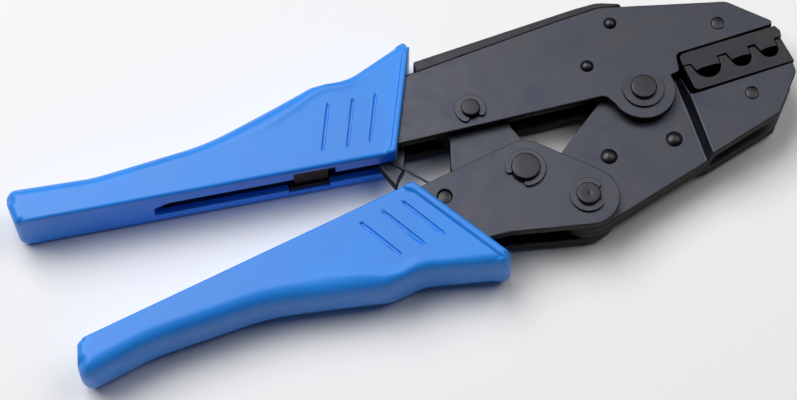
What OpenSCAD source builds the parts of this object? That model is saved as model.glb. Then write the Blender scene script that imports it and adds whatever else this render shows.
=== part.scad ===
// Ratchet crimping tool, lying flat on its side.
// +Z is square to the steel plates, +X runs along the fixed handle towards the jaws.

/* [Place of the main pivot] */
// Ahead of the middle of the whole tool
pivot_ahead = 69.9; // [66:0.05:74]
// To the side of the middle of the whole tool
pivot_aside = 12.1; // [10:0.01:16]

/* [Linkage, measured from the main pivot] */
// Link pivot in the frame, behind the main pivot
link_pivot_back = 50.2; // [49:0.1:51]
// Link pivot in the frame, to the side
link_pivot_side = 3.5; // [3:0.1:4]
// Toggle pivot between link and moving handle, behind
toggle_back = 38.8; // [38.4:0.1:39.2]
// Toggle pivot, below
toggle_down = 17.7; // [17.4:0.1:18]
// Knee pivot between moving handle and jaw, behind
knee_back = 23.3; // [23:0.1:23.6]
// Knee pivot, below
knee_down = 29.4; // [29.1:0.1:29.7]

/* [Plate stack] */
// Thickness of a frame plate
frame_plate_t = 3; // [2.8:0.1:3.1]
// Over both frame plates
frame_t = 14; // [13.9:0.1:14.2]
// Thickness of a handle plate
handle_plate_t = 3; // [2.8:0.1:3.1]
// Over both handle plates
handle_t = 13.6; // [13.5:0.1:13.8]
// Thickness of a jaw plate
jaw_plate_t = 3.5; // [3.4:0.05:3.55]
// Thickness of the toothed link
link_t = 7; // [6.6:0.1:7.2]

/* [Grips] */
// Thickness of the moulded grips
grip_t = 18; // [17.8:0.1:19]
// Length of the fixed grip's inner edge
upper_grip_length = 109.6; // [108:0.1:112]
// Length of the moving grip's inner edge
lower_grip_length = 104.2; // [102:0.1:106]
// Angle of the moving handle to the fixed one at rest
handle_angle = 15.7; // [15:0.1:16.5]

/* [Pins] */
// Main pivot pin diameter
main_pin_d = 7.5; // [7:0.1:8]
// Link pin diameter
link_pin_d = 5.4; // [5:0.1:6]
// Toggle pin diameter
toggle_pin_d = 8.3; // [7.8:0.1:8.6]
// Knee pin diameter
knee_pin_d = 6.8; // [6.4:0.1:7]
// How far a pin stands out of its plates
pin_stand = 2; // [1.6:0.1:2]
// Radial running clearance of a turning bore
running_gap = 0.05; // [0.02:0.01:0.1]

/* [Dies] */
// Angle of the die line to the fixed handle
die_angle = 7; // [6.5:0.1:7.5]
// Spare height left between the dies when fully closed
die_spare = 0.15; // [0.12:0.01:0.2]
// Angle that the jaw closes by from rest
jaw_close = 0.84; // [0.8:0.01:0.9]

/* [Hidden] */
$fn = 48;

steel = "#55575d";
die_steel = "#4e4a4a";
pin_steel = "#464648";
grip_blue = "#4a97f0";

mid_z = grip_t / 2;
plate_gap = frame_t - 2 * frame_plate_t;
handle_gap = handle_t - 2 * handle_plate_t;

main_at = [0, 0];
link_at = [-link_pivot_back, link_pivot_side];
toggle_at = [-toggle_back, -toggle_down];
knee_at = [-knee_back, -knee_down];
pawl_at = [-74.5, 3];
spring_at = [-63, -21.5];
upper_pin_at = [26.5, 16.4];
lower_pin_at = [30.4, -7.5];
frame_rivet_at = [[-4.4, 22.7], [-14.2, 10.4]];
jaw_rivet_at = [[-14.1, -17.4], [5.5, -15.8]];
handle_rivet_at = [[-88, -28.5], [-102, -33]];
tang_rivet_at = [-98.2, -0.6];

// Tab of each frame plate that shows in a window of the upper grip's inner face
window_start = -103.4;
window_end = -91.7;
window_face = -5.6;
back_tab_shift = -1.8;
tang_face = -4.2;

main_hub_r = 9.4;
jaw_hub_r = 8.7;
knee_hub_r = 8.9;
link_hub_r = 8.6;
pawl_pin_d = 3.6;
spring_pin_d = 4;
die_pin_d = 3.8;
rivet_d = 3;
frame_rivet_head_d = 3.9;
jaw_rivet_head_d = 4.9;
rivet_dome = 1.1;
clip_t = 0.8;
clip_groove = 0.5;
pin_head_t = 2;

// Ratchet teeth stand on an arc of the link around the link pivot
tooth_tip_r = 13.2;
tooth_root_r = 12.3;
tooth_first = 138;
tooth_step = 4.6;
tooth_count = 8;
pawl_t = 4;
nose_angle = 150;
nose_gap = 0.2;

// Return spring, wound from wire round its own pin
wire_d = 0.7;
coil_r = 2.8;
coil_gap = 0.08;
leg_angle = 137;
leg_length = 29;
leg_z = mid_z + 2.42;

// Dies, along and across the die line from the main pivot
die_start = 13.6;
die_end = 44.2;
die_top = 7.1;
die_bottom = -5.35;
slot_top = 3.3;
tooth_foot = 0.6;
nest_start = [16.7, 27.7, 36.7];
nest_width = [7.3, 5.7, 5.1];
nest_depth = [2.9, 2.6, 2.4];
side_gap = 0.25;
side_slant = 0.9;

// Corner points [x, y, radius] become a closed outline with true-radius corners
function unit(v) = v / norm(v);
function xy(p) = [p[0], p[1]];
function wrapped(a) = a - 360 * round(a / 360);
function bearing(v) = atan2(v[1], v[0]);
function corner_arc(before, corner, after, r, steps = 7) =
    let (u = unit(before - corner), w = unit(after - corner))
    let (half = acos(max(-1, min(1, u * w))) / 2)
    let (centre = corner + unit(u + w) * r / sin(half))
    let (from = bearing(corner + u * r / tan(half) - centre))
    let (to = bearing(corner + w * r / tan(half) - centre))
    let (turn = wrapped(to - from))
    [for (i = [0 : steps]) centre + r * [cos(from + turn * i / steps), sin(from + turn * i / steps)]];
function rounded(c) = [
    for (i = [0 : len(c) - 1])
        let (before = xy(c[(i + len(c) - 1) % len(c)]), after = xy(c[(i + 1) % len(c)]))
        each c[i][2] > 0 ? corner_arc(before, xy(c[i]), after, c[i][2]) : [xy(c[i])]
];
function on_circle(centre, r, a) = centre + r * [cos(a), sin(a)];
function arc(centre, r, from, to, steps) =
    [for (i = [0 : steps]) on_circle(centre, r, from + (to - from) * i / steps)];

// A sag arc from p to q that dips by depth below the line between them
function sag(p, q, depth, steps = 12) =
    let (width = norm(q - p), r = (width * width / 4 + depth * depth) / (2 * depth))
    let (half = asin(width / 2 / r) , along = unit(q - p), down = [along[1], -along[0]])
    let (centre = (p + q) / 2 - down * (r - depth), wide = depth > width / 2 ? 180 - half : half)
    [for (i = [0 : steps]) let (a = -wide + 2 * wide * i / steps)
        centre + r * (down * cos(a) + along * sin(a))];

module disc(at, d) {
    translate(at) circle(d = d);
}

// Two round ends and the straight band between them
module strap(p, q, r) {
    side = r * [-(q - p)[1], (q - p)[0]] / norm(q - p);
    disc(p, 2 * r);
    disc(q, 2 * r);
    polygon([p - side, q - side, q + side, p + side]);
}

module slab(z, t) {
    translate([0, 0, z]) linear_extrude(t) children();
}

module bore(at, d) {
    translate([at[0], at[1], -1]) cylinder(d = d, h = grip_t + 2);
}

module to_die_line() {
    rotate(die_angle) children();
}

// ---- outlines

module frame_outline(tab_shift = 0) {
    from = window_start + tab_shift;
    to = window_end + tab_shift;
    polygon(rounded(concat(
        [
            [-142, tang_face, 0.5], [-142, 3, 2], [-108, 5.5, 6], [-74, 16.5, 3], [-18.4, 26.6, 30],
            [-6.3, 28.4, 8], [30.6, 23, 4], [42, 14.2, 1], [41.8, 12.9, 0.3], [12, 9.1, 1.4],
            [11.8, 3.4, 1.6], [8.9, 2.9, 0.4]
        ],
        [for (p = arc(main_at, main_hub_r, 0, -161, 28)) [p[0], p[1], 0]],
        [
            [-11.2, 0.1, 2.4], [-74, -3, 2], [-77.5, -3, 0.8], [-78.6, tang_face, 0.4], [to, tang_face, 0],
            [to, window_face, 0.3], [from, window_face, 0.3], [from, tang_face, 0]
        ]
    )));
}

module jaw_outline() {
    disc(main_at, 2 * jaw_hub_r);
    disc(knee_at, 2 * knee_hub_r);
    polygon(rounded([
        [-5.9, 6.4, 0], [-27.3, -13.5, 3], [-32.1, -27.8, 0], [-20, -37.65, 0], [36.4, -15.2, 1],
        [44.6, -3.4, 2], [44.5, -0.2, 0.8], [15.9, -4.05, 0], [12.9, -4.3, 0.8], [11.7, 1.7, 0.6],
        [7, 5, 0]
    ]));
}

module handle_outline() {
    strap(toggle_at, knee_at, knee_hub_r);
    polygon(rounded([
        [-41, -9.1, 0], [-58.9, -14.2, 12], [-67, -16.4, 3], [-80, -21.2, 0], [-109, -30, 2],
        [-107, -38, 2], [-72, -37.5, 8], [-47.4, -35.9, 8], [-24.1, -38.27, 0], knee_corner(), toggle_corner()
    ]));
}
function knee_corner() = [knee_at[0], knee_at[1], 0];
function toggle_corner() = [toggle_at[0], toggle_at[1], 0];

module link_outline() {
    disc(link_at, 2 * link_hub_r);
    disc(toggle_at, 2 * link_hub_r);
    polygon(rounded([
        [-56, 9, 0], [-57.5, -3, 3], [-59, -11, 0], [-59, -15, 1.5], [-43.5, -24.8, 0],
        [-31, -14.5, 0], [-37.4, -6.8, 2], [-39.3, -3, 3], [-41.7, 5, 0]
    ]));
    teeth_from = tooth_first;
    teeth_to = tooth_first + tooth_step * tooth_count;
    polygon(concat([link_at], arc(link_at, tooth_root_r, teeth_from - 4, teeth_to + 6, 14)));
    for (i = [0 : tooth_count - 1]) {
        a = teeth_from + i * tooth_step;
        polygon([
            on_circle(link_at, tooth_root_r - 0.4, a), on_circle(link_at, tooth_tip_r, a + 0.6),
            on_circle(link_at, tooth_root_r - 0.4, a + tooth_step)
        ]);
    }
}

// Moulded grip: the corner by the plates is at 0, the inner edge runs back along -x.
// The plate end leans forwards by lean, the free end leans back by back, and the inner edge
// stands out by inner.
module grip_outline(lean, length, back, inner) {
    polygon(rounded([
        [-inner * (lean + 0.6) / 31.8, -inner, 1.5], [-length, -inner, 1.8], [-length - back, 11, 3.2],
        [-86, 10.2, 45], [-53, 14.2, 70], [-20.5, 25.6, 9], [-9.5, 25.8, 16], [lean, 35, 1.8], [lean + 0.6, 31.8, 2]
    ]));
}

// ---- frame, the fixed body

module frame_plate(z, tab_shift) {
    color(steel) difference() {
        slab(z, frame_plate_t) frame_outline(tab_shift);
        bore(main_at, main_pin_d);
        bore(link_at, link_pin_d);
        bore(pawl_at, pawl_pin_d);
        bore(upper_pin_at, die_pin_d);
        for (at = frame_rivet_at) bore(at, rivet_d);
        bore(tang_rivet_at, rivet_d);
    }
}

module frame_plate_front() {
    frame_plate(mid_z + plate_gap / 2, 0);
}

module frame_plate_back() {
    frame_plate(mid_z - frame_t / 2, back_tab_shift);
}

spine_bar_t = 13;

module frame_spine() {
    color(steel) {
        slab(mid_z - spine_bar_t / 2, spine_bar_t) polygon(rounded([
            [-63.1, 18.55, 0], [-18.8, 26.66, 0], [-7.5, 28.38, 0], [-2.5, 28.1, 0], [0.4, 27.8, 0],
            [-0.3, 28.9, 0.4], [-6.5, 30.4, 10], [-13, 29.8, 12], [-63.1, 22.1, 0.4]
        ]));
        slab(mid_z - plate_gap / 2, plate_gap) polygon([
            [-71, 15.6], [-70.6, 19], [-62, 20.2], [-18.6, 27.6], [-7.2, 29],
            [-0.6, 28.2], [0, 25.9], [-6.6, 26.7], [-18.4, 24.9]
        ]);
    }
}

module frame_core() {
    color(steel) difference() {
        slab(mid_z - plate_gap / 2, plate_gap) difference() {
            frame_outline();
            circle(r = main_hub_r + 1.2);
            polygon([[-7.6, 8.2], [-9.5, 6], [-24.5, 5.2], [-24.5, -6], [0, -12], [0, 0]]);
            polygon([[-150, -20], [-24, -20], [-24, 40], [-150, 40]]);
            polygon([[-30, 22.6], [-18.4, 24.85], [-6.6, 26.65], [0.05, 25.85], [0.5, 31], [-30, 31]]);
            to_die_line() die_tang_outline(0.1);
        }
        for (at = frame_rivet_at) bore(at, rivet_d);
    }
}

module tang_spacer() {
    color(steel) difference() {
        slab(mid_z - plate_gap / 2, plate_gap) polygon([
            [window_start, tang_face - 0.4], [window_end + back_tab_shift, tang_face - 0.4],
            [window_end + back_tab_shift, 2.5], [window_start, 2.5]
        ]);
        bore(tang_rivet_at, rivet_d);
    }
}

// Domed rivet through a stack that lies between z_low and z_high
module rivet(at, z_low, z_high, head_d) {
    cap_r = (head_d * head_d / 4 + rivet_dome * rivet_dome) / (2 * rivet_dome);
    translate([at[0], at[1], z_low]) cylinder(d = rivet_d, h = z_high - z_low);
    for (up = [0, 1]) {
        translate([at[0], at[1], up == 1 ? z_high : z_low]) mirror([0, 0, 1 - up])
            rotate_extrude() intersection() {
                translate([0, rivet_dome - cap_r]) circle(r = cap_r);
                square([head_d, head_d]);
            }
    }
}

module frame_rivets() {
    color(pin_steel) {
        for (at = frame_rivet_at) rivet(at, mid_z - frame_t / 2, mid_z + frame_t / 2, frame_rivet_head_d);
        translate([tang_rivet_at[0], tang_rivet_at[1], mid_z - frame_t / 2]) cylinder(d = rivet_d, h = frame_t);
    }
}

function tooth_right(i) = nest_start[i] + nest_width[i];
function tooth_side_top(i) = nest_start[i] - side_slant;

// Tang that holds the upper die between the frame plates; grow clears it in the core
module die_tang_outline(grow) {
    low = die_top - 1;
    high = 15.8 + grow;
    polygon([
        [16 - grow, low], [16 - grow, high], [33.5 + grow, high], [38 + grow, 12.5 + grow], [38 + grow, low]
    ]);
}

module upper_die() {
    teeth = [for (i = [2 : -1 : 0]) each concat(
        [[tooth_right(i), slot_top]],
        sag([tooth_right(i), tooth_foot], [nest_start[i], tooth_foot], 0.35),
        [[tooth_side_top(i), slot_top]]
    )];
    color(die_steel) difference() {
        to_die_line() {
            slab(mid_z - frame_t / 2, frame_t)
                polygon(concat([[die_start, slot_top], [die_start, die_top - 1], [die_start + 1, die_top],
                    [die_end - 0.6, die_top], [die_end + 0.4, die_top - 2], [die_end, slot_top]], teeth));
            slab(mid_z - plate_gap / 2, plate_gap) die_tang_outline(0);
        }
        bore(upper_pin_at, die_pin_d);
    }
}

module upper_die_pin() {
    color(pin_steel) translate([upper_pin_at[0], upper_pin_at[1], mid_z - frame_t / 2])
        cylinder(d = die_pin_d, h = frame_t);
}

// Headed pin with a groove for its retaining clip just above the plates
module clipped_pin(at, d, head_d, stack) {
    top = mid_z + stack / 2;
    low = mid_z - stack / 2;
    translate([at[0], at[1], 0]) difference() {
        union() {
            translate([0, 0, low]) cylinder(d = d, h = stack + pin_stand - 0.3);
            translate([0, 0, top + pin_stand - 0.3]) cylinder(d1 = d, d2 = d - 0.6, h = 0.3);
            translate([0, 0, low - pin_head_t]) cylinder(d = head_d, h = pin_head_t);
        }
        translate([0, 0, top]) difference() {
            cylinder(d = d + 1, h = clip_t);
            translate([0, 0, -1]) cylinder(d = d - 2 * clip_groove, h = clip_t + 2);
        }
    }
}

// Open ring that snaps into the groove, with round ends
module retaining_clip(at, d, outer_d, stack, open_at, open_half) {
    inner_r = d / 2 - clip_groove + 0.04;
    outer_r = outer_d / 2;
    mid_r = (inner_r + outer_r) / 2;
    end_r = (outer_r - inner_r) / 2;
    from = open_at + open_half;
    to = open_at - open_half + 360;
    translate([at[0], at[1], mid_z + stack / 2]) linear_extrude(clip_t) polygon(concat(
        arc([0, 0], outer_r, from, to, 30),
        arc(on_circle([0, 0], mid_r, to), end_r, to + 20, to + 160, 7),
        arc([0, 0], inner_r, to, from, 30),
        arc(on_circle([0, 0], mid_r, from), end_r, from + 200, from + 340, 7)
    ));
}

module main_pivot_pin() {
    color(pin_steel) clipped_pin(main_at, main_pin_d, 11, frame_t);
}

module main_pivot_clip() {
    color(steel) retaining_clip(main_at, main_pin_d, 12, frame_t, 77, 66);
}

module link_pin() {
    color(pin_steel) clipped_pin(link_at, link_pin_d, 8.6, frame_t);
}

module link_pin_clip() {
    color(steel) retaining_clip(link_at, link_pin_d, 9, frame_t, -78, 48);
}

module pawl_pin() {
    color(pin_steel) translate([pawl_at[0], pawl_at[1], mid_z - frame_t / 2])
        cylinder(d = pawl_pin_d, h = frame_t);
}

// Flat outline of one turn of spring wire
module turn(at, r, d) {
    translate(at) difference() {
        circle(r = r + d / 2);
        circle(r = r - d / 2);
    }
}

// Flat outline of a straight end of spring wire
module straight_end(from, angle, length, d) {
    translate(from) rotate(angle) translate([0, -d / 2]) square([length, d]);
}

pawl_wire_d = 0.6;
pawl_coil_r = 2.5;

module pawl_spring() {
    color(pin_steel) slab(mid_z - plate_gap / 2 + 0.15, 2 * pawl_wire_d) {
        turn(pawl_at, pawl_coil_r, pawl_wire_d);
        straight_end(on_circle(pawl_at, pawl_coil_r, 90), 175, 10, pawl_wire_d);
        straight_end(on_circle(pawl_at, pawl_coil_r, 0), -95, 6, pawl_wire_d);
    }
}

slot_start = -144;
slot_deep = 1;
slot_lip = 2.9;

// Slot in the grip's inner face, a little narrower than the plates' gap, closing over a short way
// at its far end
module grip_slot() {
    low = mid_z - plate_gap / 2;
    high = mid_z + slot_lip;
    rotate([90, 0, 0]) translate([0, 0, -slot_deep]) linear_extrude(slot_deep + 8) polygon([
        [slot_start, low + 2], [slot_start + 2, low], [-60, low],
        [-60, high], [slot_start + 4, high], [slot_start, low + 3.5]
    ]);
}

module grip_window(tab_shift) {
    translate([window_start + tab_shift - 0.2, -8])
        square([window_end - window_start + 0.4, 8 + tang_face + 0.3]);
}

grip_at = [-73.4, -4.9];
lean_upper = 9.6;
back_upper = 2.6;
inner_upper = 1.2;
lower_grip_at = [-70.9, -15.8];
lean_lower = 13.4;
back_lower = 4.8;

module upper_grip() {
    color(grip_blue) difference() {
        slab(0, grip_t) translate(grip_at)
            grip_outline(lean_upper, upper_grip_length, back_upper, inner_upper);
        slab(mid_z, frame_t / 2) frame_outline(0);
        slab(mid_z - frame_t / 2, frame_t / 2) frame_outline(back_tab_shift);
        slab(mid_z - spine_bar_t / 2 - 0.1, spine_bar_t + 0.2) polygon([[-63, 12], [-60, 12], [-60, 24], [-63, 24]]);
        slab(mid_z - plate_gap / 2, plate_gap) polygon([[-71.2, 14], [-60, 16], [-60, 21], [-71.2, 19.2]]);
        grip_slot();
        slab(mid_z, 6.2) grip_window(0);
        slab(mid_z - 5.4, 5.4) grip_window(back_tab_shift);
    }
}

// ---- toothed link

module ratchet_link() {
    color(steel) difference() {
        slab(mid_z - link_t / 2, link_t) link_outline();
        bore(link_at, link_pin_d + 2 * running_gap);
        bore(toggle_at, toggle_pin_d + 2 * running_gap);
    }
}

// ---- pawl with its finger fin

module release_pawl() {
    nose = on_circle(link_at, tooth_tip_r + nose_gap, nose_angle);
    out = unit(nose - link_at);
    side = [-out[1], out[0]];
    color(steel) difference() {
        slab(mid_z - pawl_t / 2, pawl_t) {
            disc(pawl_at, 7.4);
            polygon([
                pawl_at + [-1.5, 3.4], pawl_at + [2, -3.1], nose + out * 1.6 + side * 1.2, nose,
                nose + out * 0.6 - side * 0.5, nose + out * 2.8 - side * 1.2, nose + out * 3.6 + side
            ]);
            polygon(rounded([
                [-78.2, 3, 0], [-78.9, -6.6, 2], [-75.3, -13.9, 0.3], [-74.2, -11.2, 6], [-72, -8.8, 3],
                [-70.9, -4, 4], [-70.8, 3, 0]
            ]));
        }
        bore(pawl_at, pawl_pin_d + 2 * running_gap);
    }
}

// ---- moving handle

module handle_plate(z) {
    color(steel) difference() {
        slab(z, handle_plate_t) handle_outline();
        bore(toggle_at, toggle_pin_d);
        bore(knee_at, knee_pin_d);
        bore(spring_at, spring_pin_d);
        for (at = handle_rivet_at) bore(at, rivet_d);
    }
}

module handle_plate_front() {
    handle_plate(mid_z + handle_gap / 2);
}

module handle_plate_back() {
    handle_plate(mid_z - handle_t / 2);
}

module handle_spacer() {
    color(steel) difference() {
        slab(mid_z - handle_gap / 2, handle_gap) strap(handle_rivet_at[0], handle_rivet_at[1], 3.2);
        for (at = handle_rivet_at) bore(at, rivet_d);
    }
}

module handle_rivets() {
    color(pin_steel) for (at = handle_rivet_at)
        translate([at[0], at[1], mid_z - handle_t / 2]) cylinder(d = rivet_d, h = handle_t);
}

module toggle_pin() {
    color(pin_steel) clipped_pin(toggle_at, toggle_pin_d, 11.5, handle_t);
}

module toggle_pin_clip() {
    color(steel) retaining_clip(toggle_at, toggle_pin_d, 11.6, handle_t, 222, 44);
}

module knee_pin() {
    color(pin_steel) clipped_pin(knee_at, knee_pin_d, 10, handle_t);
}

module knee_pin_clip() {
    color(steel) retaining_clip(knee_at, knee_pin_d, 10.4, handle_t, -8, 47);
}

module spring_pin() {
    color(pin_steel) translate([spring_at[0], spring_at[1], mid_z - handle_t / 2])
        cylinder(d = spring_pin_d, h = handle_t - 0.6);
}

// Fixed turns of the return spring and the short end that bears on the handle spacer
module return_spring_coil() {
    color(pin_steel) slab(leg_z - 2.5 * wire_d - coil_gap, 2 * wire_d) {
        turn(spring_at, coil_r, wire_d);
        straight_end(on_circle(spring_at, coil_r, -90), 190, 21, wire_d);
    }
}

module lower_grip() {
    color(grip_blue) difference() {
        slab(0, grip_t) translate(lower_grip_at) rotate(handle_angle) mirror([0, 1])
            grip_outline(lean_lower, lower_grip_length, back_lower, 0);
        slab(mid_z - handle_t / 2, handle_t) handle_outline();
    }
}

// Last turn and the long end of the return spring, which swings as the handles open
module return_spring_leg() {
    color(pin_steel) slab(leg_z - wire_d / 2, wire_d) {
        turn(spring_at, coil_r, wire_d);
        straight_end(on_circle(spring_at, coil_r, leg_angle - 90), leg_angle, leg_length, wire_d);
    }
}

// ---- moving jaw

joggle_at = [10.7, 0];
joggle_lean = 5.5;
joggle_run = 1.6;
joggle_reach = 80;

// Section across the step: thin end at mid height, die end moved out by one plate thickness
module joggle_section() {
    t = jaw_plate_t;
    polygon(rounded([
        [-joggle_reach, 0, 0], [0.9, 0, 1], [joggle_run + 0.9, t, 1], [joggle_reach, t, 0],
        [joggle_reach, 2 * t, 0], [joggle_run, 2 * t, 1.2], [0, t, 1.2], [-joggle_reach, t, 0]
    ]));
}

module joggled_plate() {
    difference() {
        intersection() {
            slab(0, 2 * jaw_plate_t) jaw_outline();
            translate(joggle_at) rotate([90, 0, joggle_lean])
                linear_extrude(joggle_reach, center = true) joggle_section();
        }
        bore(main_at, main_pin_d + 2 * running_gap);
        bore(lower_pin_at, die_pin_d);
        for (at = jaw_rivet_at) bore(at, rivet_d);
        knee_slot();
    }
}

// The knee pin runs in a short slot, which takes up what the toggle's path differs by
knee_travel = 1.7;

module knee_slot() {
    swing = unit([knee_at[1], -knee_at[0]]);
    slot_r = knee_pin_d / 2 + 0.15;
    for (end = [-0.4, knee_travel]) bore(knee_at + swing * end, 2 * slot_r);
    slab(-1, grip_t + 2) polygon([
        for (c = [[-0.4, -1], [knee_travel, -1], [knee_travel, 1], [-0.4, 1]])
            knee_at + swing * c[0] + slot_r * c[1] * [-swing[1], swing[0]]
    ]);
}

module jaw_plate_front() {
    color(steel) translate([0, 0, mid_z]) joggled_plate();
}

module jaw_plate_back() {
    color(steel) translate([0, 0, mid_z]) mirror([0, 0, 1]) joggled_plate();
}

module jaw_rivets() {
    color(pin_steel) for (at = jaw_rivet_at)
        rivet(at, mid_z - jaw_plate_t, mid_z + jaw_plate_t, jaw_rivet_head_d);
}

// Wall tops slope so that every wall keeps the same spare height when the jaw is closed
function wall_top(u) = slot_top - die_spare - u * tan(jaw_close);
function wall_right(i) = nest_start[i] - side_gap;
function wall_left(i) = nest_start[i] + nest_width[i] + side_gap;

module lower_die() {
    nests = [for (i = [0 : 2]) each concat(
        [[wall_right(i) - side_slant, wall_top(wall_right(i))]],
        sag([wall_right(i), tooth_foot - 0.3], [wall_left(i), tooth_foot - 0.3], nest_depth[i]),
        [[wall_left(i), wall_top(wall_left(i))]]
    )];
    color(die_steel) difference() {
        to_die_line() {
            slab(mid_z - frame_t / 2, frame_t) polygon(concat(
                [[die_start + 0.1, wall_top(die_start)]], nests,
                [[die_end - 0.4, wall_top(die_end)], [die_end + 0.5, die_bottom + 0.1]],
                corner_arc([die_end, die_bottom], [die_start + 0.7, die_bottom], [die_start, 0], 1.5)
            ));
            slab(mid_z - jaw_plate_t, 2 * jaw_plate_t) polygon([
                [18, die_bottom - 9.5], [36.5, die_bottom - 9.5], [41, die_bottom - 1.6],
                [41, die_bottom + 1], [18, die_bottom + 1]
            ]);
        }
        bore(lower_pin_at, die_pin_d);
    }
}

module lower_die_pin() {
    color(pin_steel) translate([lower_pin_at[0], lower_pin_at[1], mid_z - frame_t / 2])
        cylinder(d = die_pin_d, h = frame_t);
}

module placed() {
    translate([pivot_ahead, pivot_aside, 0]) children();
}

placed() frame_plate_front();
placed() frame_plate_back();
placed() frame_spine();
placed() frame_core();
placed() tang_spacer();
placed() frame_rivets();
placed() upper_die();
placed() upper_die_pin();
placed() main_pivot_pin();
placed() main_pivot_clip();
placed() link_pin();
placed() link_pin_clip();
placed() pawl_pin();
placed() pawl_spring();
placed() upper_grip();
placed() ratchet_link();
placed() release_pawl();
placed() handle_plate_front();
placed() handle_plate_back();
placed() handle_spacer();
placed() handle_rivets();
placed() toggle_pin();
placed() toggle_pin_clip();
placed() knee_pin();
placed() knee_pin_clip();
placed() spring_pin();
placed() return_spring_coil();
placed() lower_grip();
placed() return_spring_leg();
placed() jaw_plate_front();
placed() jaw_plate_back();
placed() jaw_rivets();
placed() lower_die();
placed() lower_die_pin();
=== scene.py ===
import math

import bpy
import numpy as np
from mathutils import Matrix, Vector
from mathutils.geometry import tessellate_polygon


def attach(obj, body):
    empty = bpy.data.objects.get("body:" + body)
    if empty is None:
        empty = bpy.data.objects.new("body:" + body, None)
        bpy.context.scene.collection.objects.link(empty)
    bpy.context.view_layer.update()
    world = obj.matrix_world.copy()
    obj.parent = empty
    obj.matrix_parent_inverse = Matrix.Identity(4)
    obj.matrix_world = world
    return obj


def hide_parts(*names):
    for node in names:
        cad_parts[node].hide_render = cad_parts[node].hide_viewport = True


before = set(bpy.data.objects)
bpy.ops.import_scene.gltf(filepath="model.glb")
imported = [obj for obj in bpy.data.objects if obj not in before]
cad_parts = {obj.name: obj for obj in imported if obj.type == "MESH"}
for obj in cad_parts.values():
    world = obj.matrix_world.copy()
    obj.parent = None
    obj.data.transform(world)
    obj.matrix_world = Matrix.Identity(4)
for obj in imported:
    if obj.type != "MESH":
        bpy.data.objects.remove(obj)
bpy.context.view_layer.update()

# Plan points are in millimetres from the main pivot; pivotShift puts them in the frame.
pivotShift = np.array([69.9, 12.1, 0.0])
middle = 9.0
gripThickness = 18.0

linkAt = np.array([-50.2, 3.5])
toggleAt = np.array([-38.8, -17.7])
kneeAt = np.array([-23.3, -29.4])
pawlAt = np.array([-74.5, 3.0])
springAt = np.array([-63.0, -21.5])
upperPinAt = np.array([26.5, 16.4])
lowerPinAt = np.array([30.4, -7.5])


# Shapes

def unit(v):
    return v / np.linalg.norm(v)


def bearing(v):
    return math.atan2(v[1], v[0])


# Centre plus radius times (cos a, sin a)
def circlePoints(centre, radius, start, end, steps):
    angles = np.radians(np.linspace(start, end, steps + 1))
    return np.asarray(centre) + radius * np.stack([np.cos(angles), np.sin(angles)], 1)


# The arc that touches both edges of a corner, its centre radius / sin(half angle) away along the bisector
def cornerPoints(before, corner, after, radius, steps):
    if radius <= 0:
        return corner[None, :]
    u, w = unit(before - corner), unit(after - corner)
    half = math.acos(max(-1.0, min(1.0, float(u @ w)))) / 2
    centre = corner + unit(u + w) * radius / math.sin(half)
    start = bearing(corner + u * radius / math.tan(half) - centre)
    end = bearing(corner + w * radius / math.tan(half) - centre)
    turn = (end - start + math.pi) % (2 * math.pi) - math.pi
    angles = start + turn * np.linspace(0, 1, steps + 1)
    return centre + radius * np.stack([np.cos(angles), np.sin(angles)], 1)


# Corners [x, y, radius] become runs of points, one run for each corner
def roundedRuns(corners, steps=7):
    c = np.array(corners, float)
    after = np.roll(c, -1, 0)
    return [cornerPoints(c[i - 1, :2], c[i, :2], after[i, :2], c[i, 2], steps) for i in range(len(c))]


def roundedLoop(corners, steps=7):
    return np.concatenate(roundedRuns(corners, steps))


def anticlockwise(loop):
    x, y = loop[:, 0], loop[:, 1]
    area = np.sum(x * np.roll(y, -1) - np.roll(x, -1) * y)
    return loop if area > 0 else loop[::-1]


def hole(centre, diameter, steps=40):
    return circlePoints(centre, diameter / 2, 0, -360, steps)[:-1]


# Each point moves into the material, square to the edge, by the same distance
def insetLoop(loop, amount):
    before = loop - np.roll(loop, 1, 0)
    after = np.roll(loop, -1, 0) - loop
    before = before / np.linalg.norm(before, axis=1)[:, None]
    after = after / np.linalg.norm(after, axis=1)[:, None]
    n1 = np.stack([-before[:, 1], before[:, 0]], 1)
    n2 = np.stack([-after[:, 1], after[:, 0]], 1)
    share = np.maximum(1 + np.sum(n1 * n2, 1), 0.35)
    return loop + amount * (n1 + n2) / share[:, None]


def fillLoops(loops):
    tris = np.array(tessellate_polygon([[Vector((x, y, 0)) for x, y in loop] for loop in loops]))
    p = np.concatenate(loops)
    a, b, c = p[tris[:, 0]], p[tris[:, 1]], p[tris[:, 2]]
    turned = (b - a)[:, 0] * (c - a)[:, 1] - (b - a)[:, 1] * (c - a)[:, 0]
    tris[turned < 0] = tris[turned < 0][:, ::-1]
    return tris[np.abs(turned) > 1e-12]


def shell(points, quads=(), tris=(), caps=(), wall=None):
    return {
        "points": np.asarray(points, float),
        "quads": np.asarray(quads, int).reshape(-1, 4),
        "tris": np.asarray(tris, int).reshape(-1, 3),
        "caps": np.asarray(caps, int).reshape(-1, 3),
        "wall": np.zeros(len(points)) if wall is None else np.asarray(wall, float),
    }


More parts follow.
